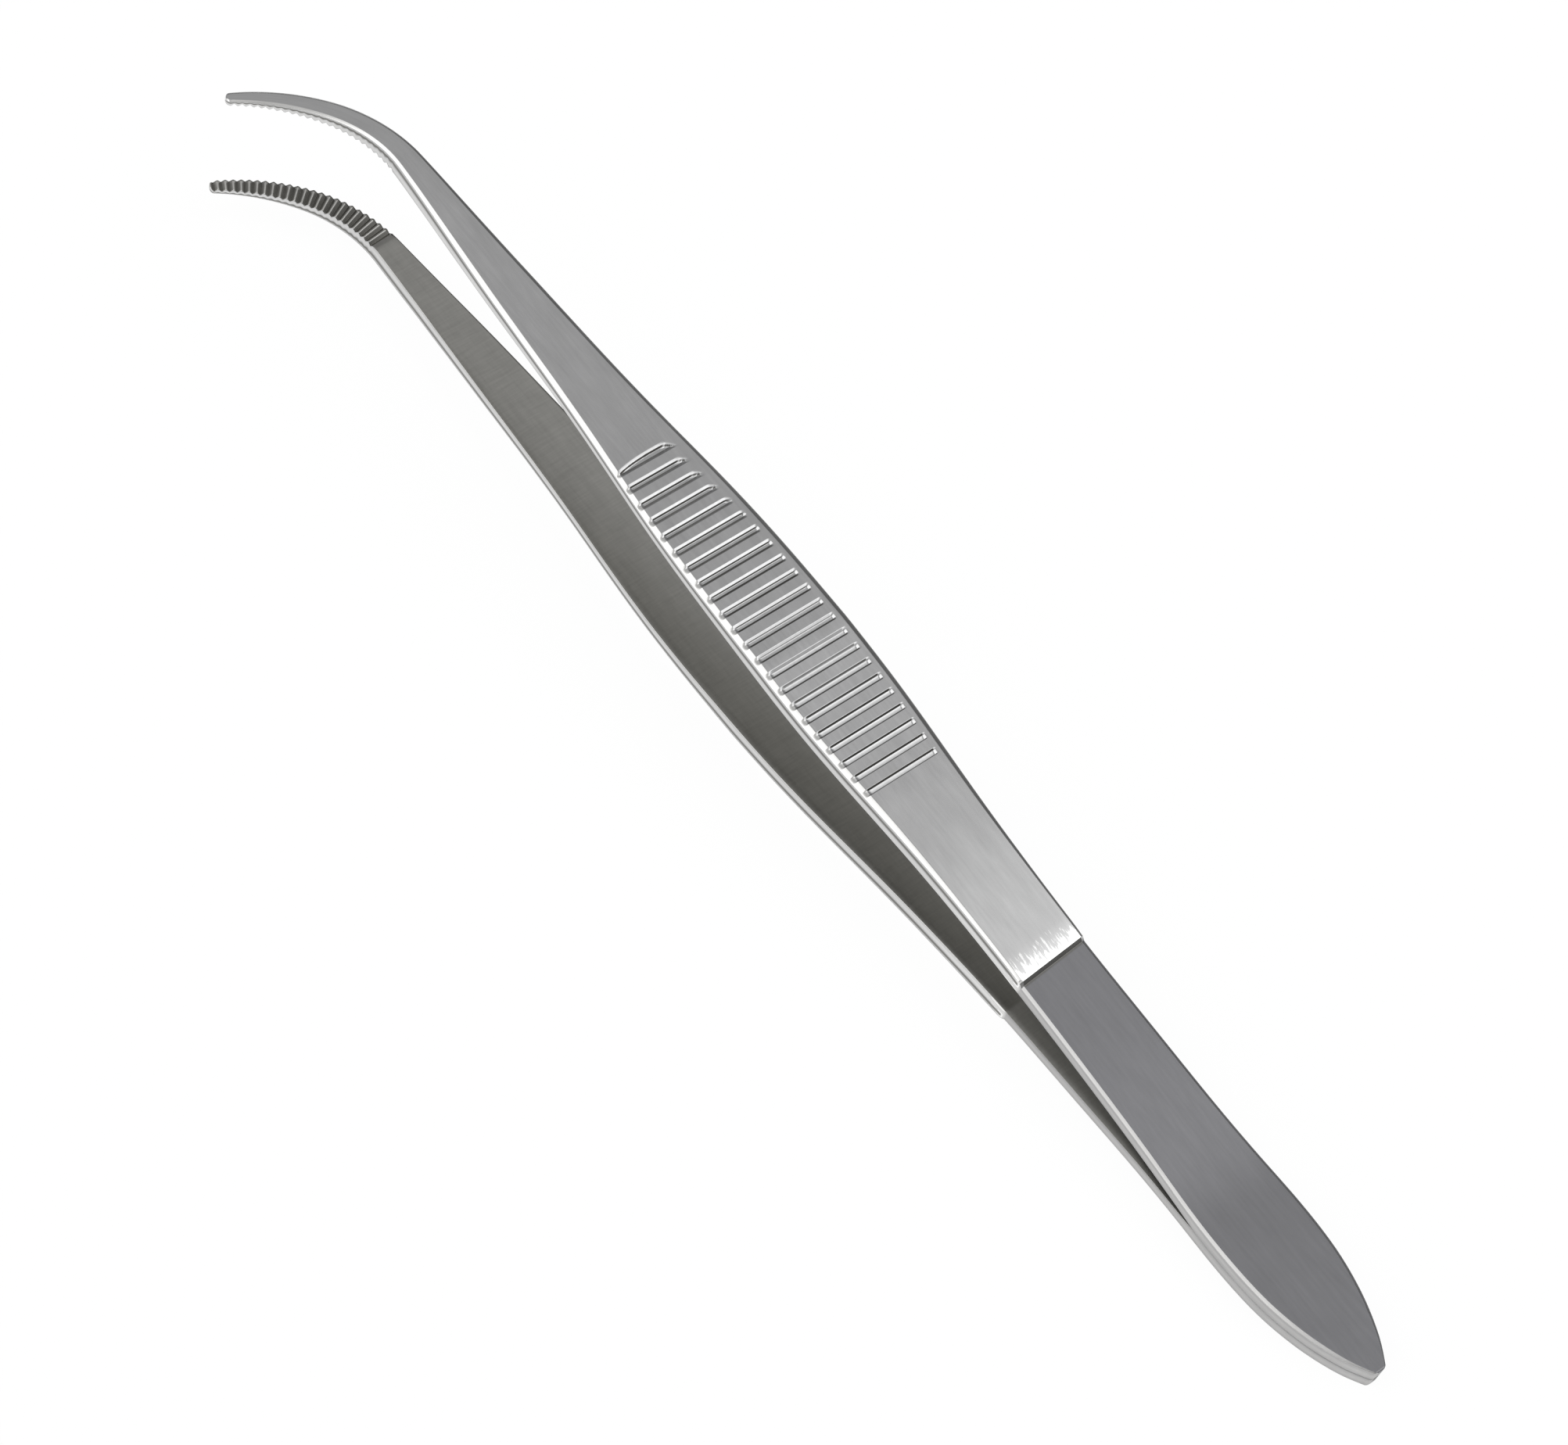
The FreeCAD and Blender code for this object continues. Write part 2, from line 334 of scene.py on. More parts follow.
    def painted_corner_shade(self, x: float, y: float) -> float:
        """Painted shade in the shoulder's corner.

        Args:
            x: Place along the arm.
            y: Place across the arm.

        Returns:
            How much shade is painted on the face, from 0 to 1.
        """
        past = self.past_shoulder(x, y)
        return (smooth(past, *self.shade_foot)
                * (1 - smooth(past - self.shoulder_run, *self.shade_top)))

    def outer_height(self, x: float, y: float) -> float:
        """Height of the smooth outer face, before grooves.

        Args:
            x: Place along the arm.
            y: Place across the arm.

        Returns:
            Height above the plane between the arms.
        """
        heel = (self.heel_thickness if x < self.heel_flat
                else self.heel_at(x))
        if x < self.shoulder - self.shoulder_spread:
            return heel
        body = self.rear_at(x) if x < self.knee else self.front_at(x)
        reach, drop = self.shoulder_lip
        near = max(1 - (self.past_shoulder(x, y) - self.shoulder_run)
                   / reach, 0.0)
        body -= drop * min(near, 1.0) ** 2
        return heel + (body - heel) * self.body_share(x, y)

    def inner_height(self, x: float) -> float:
        """Height of the smooth inner face, before the teeth."""
        return 0.0 if x < self.weld else max(self.inner_at(x), 0.0)


@dataclass
class GripGrooves:
    """Cross grooves pressed into the outer face of the grip.

    A profile gives the depth at distances from a groove's heel-side edge.
    The first groove has two steep walls and a sloping floor. To the jaws
    the heel-side wall grows wide, the floor narrow and flat, and the other
    wall ends in a rounded lip, which bows out in the last groove.
    """

    count: int = 22
    first: float = 53.53
    pitch: float = 1.344
    growth: float = 0.00855
    widest: float = 1.0
    # Rows of the mesh beside each corner, and over the last groove.
    beside_corner: tuple[float, ...] = (-0.026, -0.01, 0.01, 0.026)
    last_rows: tuple[float, int] = (0.035, 28)
    # Face left at the right, the ramp there and its growth to the jaws.
    margin: float = 0.32
    right_ramp: tuple[float, float] = (0.24, 0.44)
    left_ramp: tuple[float, float] = (-0.4, 0.28)
    # Share of the grip in which the grooves come to taper to the right.
    tail: tuple[float, float] = (0.7, 0.95)
    taper: tuple[float, float, float] = (-0.05, 0.3, 0.9)
    taper_least: float = 0.05
    # Width, centre, reach and power of the last groove's bow.
    bow: tuple[float, float, float, float] = (1.12, -0.6, 5.2, 2.6)
    at_heel: tuple[tuple[float, float], ...] = (
        (0.0, 0.0), (0.09, 0.19), (0.34, 0.145), (0.385, 0.14),
        (0.505, 0.002), (0.53, 0.0))
    at_jaws: tuple[tuple[float, float], ...] = (
        (0.0, 0.0), (0.29, 0.172), (0.46, 0.175), (0.58, 0.045),
        (0.76, 0.004), (0.80, 0.0))

    def edge(self, number: int) -> float:
        """Place of a groove's heel-side edge."""
        return (self.first + self.pitch * number
                + self.growth * number * (number - 1) / 2)

    def profile(self, number: int) -> list[tuple[float, float]]:
        """Cross-section of a groove.

        Args:
            number: The groove, counted from the heel.

        Returns:
            Distance and depth pairs of its corners.
        """
        share = number / (self.count - 1)
        return [(a + (c - a) * share, b + (d - b) * share)
                for (a, b), (c, d) in zip(self.at_heel, self.at_jaws)]

    def stations(self) -> list[float]:
        """Rows that the mesh needs for the grooves.

        Returns:
            Places along the arm that catch each groove's corners.
        """
        corners = [self.edge(number) + gap + offset
                   for number in range(self.count)
                   for gap, _ in self.profile(number)
                   for offset in self.beside_corner]
        return sorted(corners + rows(self.edge(self.count - 1),
                                     *self.last_rows))

    def depth_at(self, x: float, y: float,
                 flat: float) -> tuple[float, float]:
        """Depth and steepness of the grooves at a point.

        Args:
            x: Place along the arm.
            y: Place across the arm.
            flat: Half-width of the flat part of the outer face.

        Returns:
            How far the outer face is pressed in, and how steep it is there.
        """
        last = self.count - 1
        number = min(max(int((x - self.first) / self.pitch), 0), last)
        while number and self.edge(number) > x:
            number -= 1
        gap = x - self.edge(number)
        if not 0 < gap < self.widest:
            return 0.0, 0.0
        tail = smooth(number / last, *self.tail)
        right = y + flat - self.margin
        low, high, growth = self.taper
        taper = smooth(right, low, high + growth * tail)
        front = 1 - tail * (1 - max(taper, self.taper_least))
        if number == last:
            bow, centre, reach, power = self.bow
            front *= bow * (1 - abs((y - centre) / reach) ** power)
        points = self.profile(number)
        middle = (points[1][0] + points[2][0]) / 2
        depth, slope = min(
            self.pressed(points, min(gap, middle)),
            self.pressed(points, max(gap + points[-1][0] * (1 - front),
                                     middle)))
        ramp, growth = self.right_ramp
        share = (smooth(right, 0.0, ramp + growth * tail)
                 * smooth(flat - y, *self.left_ramp))
        return depth * share, slope * share

    @staticmethod
    def pressed(points: list[tuple[float, float]],
                gap: float) -> tuple[float, float]:
        """Depth and steepness of a profile at a distance.

        Args:
            points: Distance and depth pairs.
            gap: The distance.

        Returns:
            The depth and the slope there, 0 outside the profile.
        """
        for (a, b), (c, d) in zip(points, points[1:]):
            if a <= gap < c:
                slope = (d - b) / (c - a)
                return b + slope * (gap - a), abs(slope)
        return 0.0, 0.0


@dataclass
class JawTeeth:
    """Fine cross teeth of the inner jaw faces."""

    pitch: float = 0.6
    depth: float = 0.24
    notch: float = 0.5
    start: float = 114.3
    profile: tuple[float, ...] = (-0.25, -0.23, -0.12, -0.02, 0.0, 0.02,
                                  0.12, 0.23, 0.25)

    def last(self, shift: float, end: float) -> int:
        """Number of the last whole notch before the end."""
        return math.floor((end - self.notch / 2 - self.start - shift)
                          / self.pitch)

    def stations(self, shift: float, end: float) -> list[float]:
        """Rows that the mesh needs for the teeth.

        Args:
            shift: How far this arm's first notch is moved to the tip.
            end: Length of the whole centreline.

        Returns:
            Distances that catch each notch's corners and root.
        """
        return [self.start + shift + self.pitch * i + offset
                for i in range(self.last(shift, end) + 1)
                for offset in self.profile]

    def depth_at(self, s: float, shift: float, end: float) -> float:
        """Depth of the notches at a distance along the centreline.

        Args:
            s: Distance from the heel tip.
            shift: How far this arm's first notch is moved to the tip.
            end: Length of the whole centreline.

        Returns:
            How far the inner face is cut away.
        """
        local = (s - self.start - shift) / self.pitch
        number = round(local)
        if not 0 <= number <= self.last(shift, end):
            return 0.0
        away = abs(local - number) * self.pitch
        return self.depth * max(1 - away / (self.notch / 2), 0.0)


class RingPoint(NamedTuple):
    """One point of an arm's cross-section.

    The tone is 0.5 on a plain face, less where shade is painted and more
    where a highlight is painted.
    """

    offset: float
    height: float
    tone: float
    inside: float


@dataclass(frozen=True)
class Section:
    """Sizes of an arm's cross-section at one place of its centreline.

    Attributes:
        s: Distance from the heel tip.
        point: The centreline's point, in plan.
        normal: The way across the arm there.
        width: Half-width of the arm.
        edge: Width of the rounded outer edges.
        fall: How far those edges fall.
        flat: Half-width of the flat part between them.
        drop: How far the outer face falls at a rounded end.
        low: Height of the inner face, with the teeth.
        lift: Size of the inner edges.
        cut: Depth of the teeth.
    """

    s: float
    point: Vector
    normal: Vector
    width: float
    edge: float
    fall: float
    flat: float
    drop: float
    low: float
    lift: float
    cut: float


@dataclass
class Arm:
    """One arm, swept along its centreline as a closed ring of points."""

    side: Side
    name: str
    node: str
    shape: ArmShape
    grooves: GripGrooves
    teeth: JawTeeth
    frame: RestFrame
    # Rows along the arm, then start, step and count of the finer ones.
    plain_rows: int = 260
    closest: float = 0.0035
    first_row: float = 0.004
    heel_rows: tuple[float, int] = (0.03, 20)
    shoulder_rows: tuple[float, float, int] = (-0.36, 0.025, 48)
    tip_rows: tuple[float, float, int] = (-0.4, 0.025, 16)
    # Columns of the outer face: the left ones, the middle and the right
    # ones, with the largest parts of the flat that the outer two take.
    left_columns: tuple[float, ...] = (0.0, 0.07, 0.14, 0.22, 0.31, 0.42)
    left_most: float = 0.4
    middle_columns: int = 13
    right_columns: tuple[float, int] = (1.25, 13)
    right_most: float = 0.8
    inner_columns: int = 12
    # Points of the worn edge: share of its width and of its fall.
    bevel: tuple[tuple[float, float], ...] = (
        (0.08, 0.02), (0.18, 0.11), (0.5, 0.45), (0.82, 0.8), (0.93, 0.94),
        (0.98, 1.05))
    bevel_start: float = 0.1
    # Tones, each wall pair on the heel and on the body; high tones are painted
    # highlights, low ones painted shade.
    plain_tone: float = 0.5
    bevel_tone: float = 0.52
    # The left rim carries a painted highlight, the right rim painted shade.
    rim_tones: tuple[float, float] = (0.75, 0.3)
    # Wall tones, top to foot, paint highlight and shade stripes down the side
    # wall.
    wall_tones: tuple[tuple[float, float], ...] = (
        (0.7, 0.3), (0.73, 0.06), (0.74, 0.2), (0.74, 0.66), (0.73, 0.72),
        (0.72, 0.68), (0.68, 0.6))
    # Painted highlight at the wall's foot; shade_tone is painted shade there
    # where the arms part, and along the inner face's right edge.
    foot_tone: float = 0.66
    shade_tone: float = 0.05
    # Painted highlight on tooth crests, painted shade at the roots and on the
    # teeth's right end.
    tooth_tones: tuple[float, float] = (0.76, 0.2)
    tooth_end_tone: float = 0.12
    # How much darker the painted shade makes the face, the groove slopes steep
    # enough to get it, and the shoulder corner's share.
    painted_shade_depth: float = 0.42
    shaded_slopes: tuple[float, float] = (0.55, 0.95)
    shoulder_shade: float = 0.85
    # Painted shade in the slit's corner at the weld, and its rise over the
    # slit's length.
    slit_tones: tuple[float, float] = (0.02, 0.48)
    slit: float = 12.0
    foot_share: float = 0.3
    tooth_end: float = 0.92

    @property
    def tooth_shift(self) -> float:
        """How far this arm's teeth are moved, so that the jaws mesh."""
        return 0.0 if self.side is Side.UPPER else self.teeth.pitch / 2

    def stations(self) -> list[float]:
        """Rows of the mesh, fine where the shape turns quickly.

        Returns:
            Distances along the centreline at which the ring is placed.
        """
        end = self.shape.length
        from_shoulder, *shoulder_rows = self.shoulder_rows
        from_tip, *tip_rows = self.tip_rows
        fine = [
            rows(self.first_row, *self.heel_rows),
            rows(self.shape.shoulder + from_shoulder, *shoulder_rows),
            self.grooves.stations(),
            self.teeth.stations(self.tooth_shift, end),
            rows(end + from_tip, *tip_rows) + [end - self.first_row]]
        stops = [end * i / self.plain_rows
                 for i in range(self.plain_rows + 1)]
        for group in fine:
            low, high = min(group), max(group)
            stops = [s for s in stops if not low <= s <= high] + group
        kept: list[float] = []
        for s in sorted(stops):
            if 0.0 < s < end and (not kept or s - kept[-1] > self.closest):
                kept.append(s)
        return kept

    def section(self, s: float) -> Section:
        """Measure the cross-section at one place.

        Args:
            s: Distance from the heel tip.

        Returns:
            The sizes there.
        """
        shape = self.shape
        point, heading = shape.centreline(s)
        width = shape.half_width(s)
        edge, fall = shape.outer_edge(s, point.x, width)
        cut = self.teeth.depth_at(s, self.tooth_shift, shape.length)
        inner_edge, most = shape.inner_edge
        return Section(
            s, point, Vector((-math.sin(heading), math.cos(heading))),
            width, edge, fall, width - edge, shape.end_drop(s),
            shape.inner_height(point.x) + cut,
            min(inner_edge, width * most), cut)

    def ring(self, at: Section) -> list[RingPoint]:
        """Points of a cross-section.

        The ring starts at the left end of the outer face and runs over
        the right side, the inner face and the left side.

        Args:
            at: The cross-section.

        Returns:
            The points, always equally many.
        """
        return (self.face_points(at) + self.rim_points(at, -1)
                + self.inner_points(at) + self.rim_points(at, 1)[::-1])

    def face_points(self, at: Section) -> list[RingPoint]:
        """Points of the outer face.

        Args:
            at: The cross-section.

        Returns:
            The points, from left to right.
        """
        flat = at.flat
        width, count = self.right_columns
        right = min(width, flat * self.right_most)
        thin = min(1.0, flat * self.left_most / self.left_columns[-1])
        offsets = [flat - thin * gap for gap in self.left_columns]
        start = offsets[-1]
        reach = start + flat - right
        offsets += [start - reach * i / self.middle_columns
                    for i in range(1, self.middle_columns)]
        offsets += [right - flat - right * i / count
                    for i in range(count + 1)]
        points = []
        for offset in offsets:
            height, steep = self.outer(at.point, at.normal, offset, flat)
            # Painted shade on steep groove walls and in the shoulder's corner.
            painted_shade = max(smooth(steep, *self.shaded_slopes),
                       self.shoulder_shade
                       * self.shape.painted_corner_shade(at.point.x, offset))
            points.append(RingPoint(offset, height - at.drop,
                                    self.plain_tone - self.painted_shade_depth * painted_shade,
                                    0.0))
        return points

    def rim_points(self, at: Section, sign: int) -> list[RingPoint]:
        """Points of a rounded edge and a side wall, from the outer face.

        Args:
            at: The cross-section.
            sign: 1 for the left side and -1 for the right one.

        Returns:
            The points, down to the foot of the wall.
        """
        # Painted highlight on the left rim, painted shade on the right one.
        rim_tone = self.rim_tones[0 if sign > 0 else 1]
        rim = []
        for out, down in self.bevel:
            offset = sign * (at.flat + at.edge * out)
            height, _ = self.outer(at.point, at.normal, offset, at.flat)
            rim.append(RingPoint(
                offset, height - at.fall * down - at.drop,
                rim_tone if out > self.bevel_start else self.bevel_tone,
                0.0))
        top = rim[-1].height
        wall = at.low + at.lift - top
        steps = len(self.wall_tones)
        share = self.shape.body_share(at.point.x, 0.0)
        # Painted highlight and shade stripes down the side wall.
        for i, (heel, body) in enumerate(self.wall_tones, 1):
            rim.append(RingPoint(sign * at.width, top + wall * i / steps,
                                 heel + (body - heel) * share, 0.0))
        # The foot gets painted shade where the upper arm stands apart, else a
        # painted highlight.
        parted = self.side is Side.UPPER and at.s > self.shape.weld
        foot = at.lift * self.foot_share
        rim.append(RingPoint(sign * (at.width - foot), at.low + foot,
                             self.shade_tone if parted else self.foot_tone,
                             0.5))
        return rim

    def inner_points(self, at: Section) -> list[RingPoint]:
        """Points of the inner face.

        Args:
            at: The cross-section.

        Returns:
            The points, from right to left.
        """
        toothed = at.s > self.teeth.start
        if toothed:
            # Painted highlight on the crests, painted shade in the roots.
            crest, root = self.tooth_tones
            tone = crest + (root - crest) * at.cut / self.teeth.depth
        else:
            # Painted shade in the slit, darkest at the weld.
            weld = self.shape.weld
            base, rise = self.slit_tones
            tone = base + rise * smooth(at.s, weld, weld + self.slit)
        half, count = at.width - at.lift, self.inner_columns
        inner = [RingPoint(half * (2 * i / count - 1), at.low, tone, 1.0)
                 for i in range(count + 1)]
        # Painted shade along the inner face's right edge and on the teeth's
        # right end.
        inner[0] = inner[0]._replace(tone=self.shade_tone)
        inner.insert(1, RingPoint(-self.tooth_end * half, at.low,
                                  self.tooth_end_tone if toothed else tone,
                                  1.0))
        return inner

    def outer(self, point: Vector, normal: Vector, offset: float,
              flat: float) -> tuple[float, float]:
        """Height of the finished outer face, and its grooves' steepness.

        Args:
            point: The centreline's point, in plan.
            normal: The way across the arm there.
            offset: How far across the arm, to the left.
            flat: Half-width of the flat part of the outer face.

        Returns:
            The height above the plane between the arms, and the slope.
        """
        x = point.x + normal.x * offset
        y = point.y + normal.y * offset
        depth, slope = self.grooves.depth_at(x, y, flat)
        return self.shape.outer_height(x, y) - depth, slope

    def build(self) -> bpy.types.Object:
        """Sweep the ring into a closed mesh object.

        A grid gets one row for each station, its two long borders are
        welded and its two ends are capped.

        Returns:
            The arm, riding on the root body in place of its CAD node.
        """
        mesh = bmesh.new()
        sections = [self.section(s) for s in self.stations()]
        count = len(self.ring(sections[0]))
        bmesh.ops.create_grid(mesh, x_segments=count,
                              y_segments=len(sections) - 1, size=1.0)
        flow = mesh.verts.layers.float_vector.new("flow")
        painted_tone = mesh.verts.layers.float_vector.new("painted_tone")
        verts = sorted(mesh.verts, key=lambda v: (round(v.co.y, 6), v.co.x))
        for row, at in enumerate(sections):
            points = self.ring(at)
            for column in range(count + 1):
                spot = points[column % count]
                vert = verts[row * (count + 1) + column]
                place = at.point + at.normal * spot.offset
                vert.co = (place.x, place.y, spot.height * self.side.value)
                vert[flow] = (at.s, spot.offset, spot.height)
                # The painted light and shade tone, the inside share and the
                # body share.
                vert[painted_tone] = (spot.tone, spot.inside,
                              self.shape.body_share(place.x, place.y))
        bmesh.ops.remove_doubles(mesh, verts=mesh.verts, dist=WELD)
        for edges in self.rims(mesh):
            bmesh.ops.contextual_create(mesh, geom=edges)
        bmesh.ops.recalc_face_normals(mesh, faces=mesh.faces)
        bmesh.ops.transform(mesh, matrix=self.frame.matrix(),
                            verts=mesh.verts)
        data = bpy.data.meshes.new(self.name)
        mesh.to_mesh(data)
        mesh.free()
        data.shade_smooth()
        piece = bpy.data.objects.new(self.name, data)
        bpy.context.scene.collection.objects.link(piece)
        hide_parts(self.node)
        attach(piece, "root")
        LOG.info("%s: %d faces", self.name, len(data.polygons))
        return piece

    @staticmethod
    def dress(piece: bpy.types.Object, steel: bpy.types.Material) -> None:
        """Give an arm its finish."""
        piece.data.materials.append(steel)

    def rims(self, mesh: bmesh.types.BMesh) -> list[list[bmesh.types.BMEdge]]:
        """Find the open ends of the swept tube.

        Args:
            mesh: The tube.

        Returns:
            The edges of the heel end, then those of the jaw tip.
        """
        open_edges = [e for e in mesh.edges if e.is_boundary]
        middle = self.shape.length / 2
        return [[e for e in open_edges if e.verts[0].co.x < middle],
                [e for e in open_edges if e.verts[0].co.x >= middle]]


class Wire:
    """A shader socket whose operators add Math nodes."""

    def __init__(self, shader: Shader, socket: bpy.types.NodeSocket) -> None:
        """Keep the material builder and the socket.

        Args:
            shader: The material that the socket is in.
            socket: The output socket to wrap.
        """
        self.shader = shader
        self.socket = socket

    def _math(self, operation: str, *values: Wire | float) -> Wire:
        """Add one Math node."""
        return self.shader.node("ShaderNodeMath", {"operation": operation},
                                dict(enumerate(values)))

    def __add__(self, other: Wire | float) -> Wire:
        """Sum."""
        return self._math("ADD", self, other)

    def __radd__(self, other: float) -> Wire:
        """Sum with a number on the left."""
        return self._math("ADD", other, self)

    def __sub__(self, other: Wire | float) -> Wire:
        """Difference."""
        return self._math("SUBTRACT", self, other)

    def __rsub__(self, other: float) -> Wire:
        """Difference with a number on the left."""
        return self._math("SUBTRACT", other, self)

    def __mul__(self, other: Wire | float) -> Wire:
        """Product."""
        return self._math("MULTIPLY", self, other)

    def __rmul__(self, other: float) -> Wire:
        """Product with a number on the left."""
        return self._math("MULTIPLY", other, self)

    def clamp(self) -> Wire:
        """Value held between 0 and 1."""
        return self.shader.node("ShaderNodeClamp", {}, {"Value": self})

    def band(self, low: float, high: float) -> Wire:
        """Smooth rise from 0 at low to 1 at high.

        Args:
            low: Where the rise starts.
            high: Where the rise ends.

        Returns:
            The risen value.
        """
        return self.shader.node(
            "ShaderNodeMapRange", {"interpolation_type": "SMOOTHSTEP"},
            {"Value": self, "From Min": low, "From Max": high})


class Shader:
    """One material or world under construction."""

    def __init__(self, tree: bpy.types.NodeTree) -> None:
        """Start with an empty node tree.

        Args:
            tree: The node tree of the material or world.
        """
        self.tree = tree
        self.tree.nodes.clear()

    @classmethod
    def material(cls, name: str) -> tuple[Shader, bpy.types.Material]:
        """Make an empty node material.

        Args:
            name: The material's name.

        Returns:
            The builder of its nodes, and the material.
        """
        material = bpy.data.materials.new(name)
        material.use_nodes = True
        return cls(material.node_tree), material

    def node(self, kind: str, settings: dict[str, object],
             inputs: dict[str | int, object], output: str | int = 0) -> Wire:
        """Add a node of any type.

        Args:
            kind: The node's type name.
            settings: Properties that are set before the inputs.
            inputs: Values or wires for the input sockets.
            output: The output socket that is returned.

        Returns:
            The chosen output, wrapped.
        """
        node = self.tree.nodes.new(kind)
        for key, value in settings.items():
            setattr(node, key, value)
        for key, value in inputs.items():
            socket = node.inputs[key]
            if isinstance(value, Wire):
                self.tree.links.new(value.socket, socket)
            else:
                socket.default_value = value
        return Wire(self, node.outputs[output])

    def noise(self, vector: Wire, stretch: tuple[float, float, float],
              scale: float = 1.0, detail: float = 3.0,
              rough: float = 0.55) -> Wire:
        """Noise on a stretched vector.

        Args:
            vector: The place in the pattern.
            stretch: Scale along each axis.
            scale: Scale of the noise.
            detail: Octaves of the noise.
            rough: How strong the finer octaves are.

        Returns:
            A value of about 0 to 1.
        """
        place = self.node("ShaderNodeMapping", {"vector_type": "POINT"},
                          {"Vector": vector, "Scale": stretch})
        return self.node("ShaderNodeTexNoise", {"noise_dimensions": "3D"},
                         {"Vector": place, "Scale": scale,
                          "Detail": detail, "Roughness": rough}, "Fac")

    def attribute(self, name: str) -> Wire:
        """A vector attribute of the mesh."""
        return self.node("ShaderNodeAttribute", {"attribute_name": name},
                         {}, "Vector")

    def axes(self, vector: Wire) -> tuple[Wire, Wire, Wire]:
        """Take a vector apart.

        Args:
            vector: The vector.

        Returns:
            Its three components.
        """
        split = self.node("ShaderNodeSeparateXYZ", {}, {0: vector})
        outputs = split.socket.node.outputs
        return tuple(Wire(self, outputs[i]) for i in range(3))

    def along(self, vector: Wire, heading: Vector) -> Wire:
        """How far a vector points along a heading."""
        return self.node("ShaderNodeVectorMath",
                         {"operation": "DOT_PRODUCT"},
                         {0: vector, 1: heading.normalized()}, "Value")

    def mix(self, share: Wire | float, first: Wire | tuple[float, ...],
            second: Wire | tuple[float, ...], blend: str = "MIX") -> Wire:
        """Mix two colours.

        Args:
            share: How much of the second colour.
            first: The first colour.
            second: The second colour.
            blend: The Mix node's way of blending.

        Returns:
            The mixed colour.
        """
        def colour(value: Wire | tuple[float, ...]) -> object:
            """A wire, or a colour with its alpha."""
            return value if isinstance(value, Wire) else (*value, 1.0)
        return self.node("ShaderNodeMix",
                         {"data_type": "RGBA", "blend_type": blend},
                         {0: share, 6: colour(first), 7: colour(second)}, 2)

    def finish(self, surface: Wire, kind: str = "Material") -> None:
        """Link the surface to a new output node of the given kind."""
        output = self.tree.nodes.new("ShaderNodeOutput" + kind)
        self.tree.links.new(surface.socket, output.inputs["Surface"])


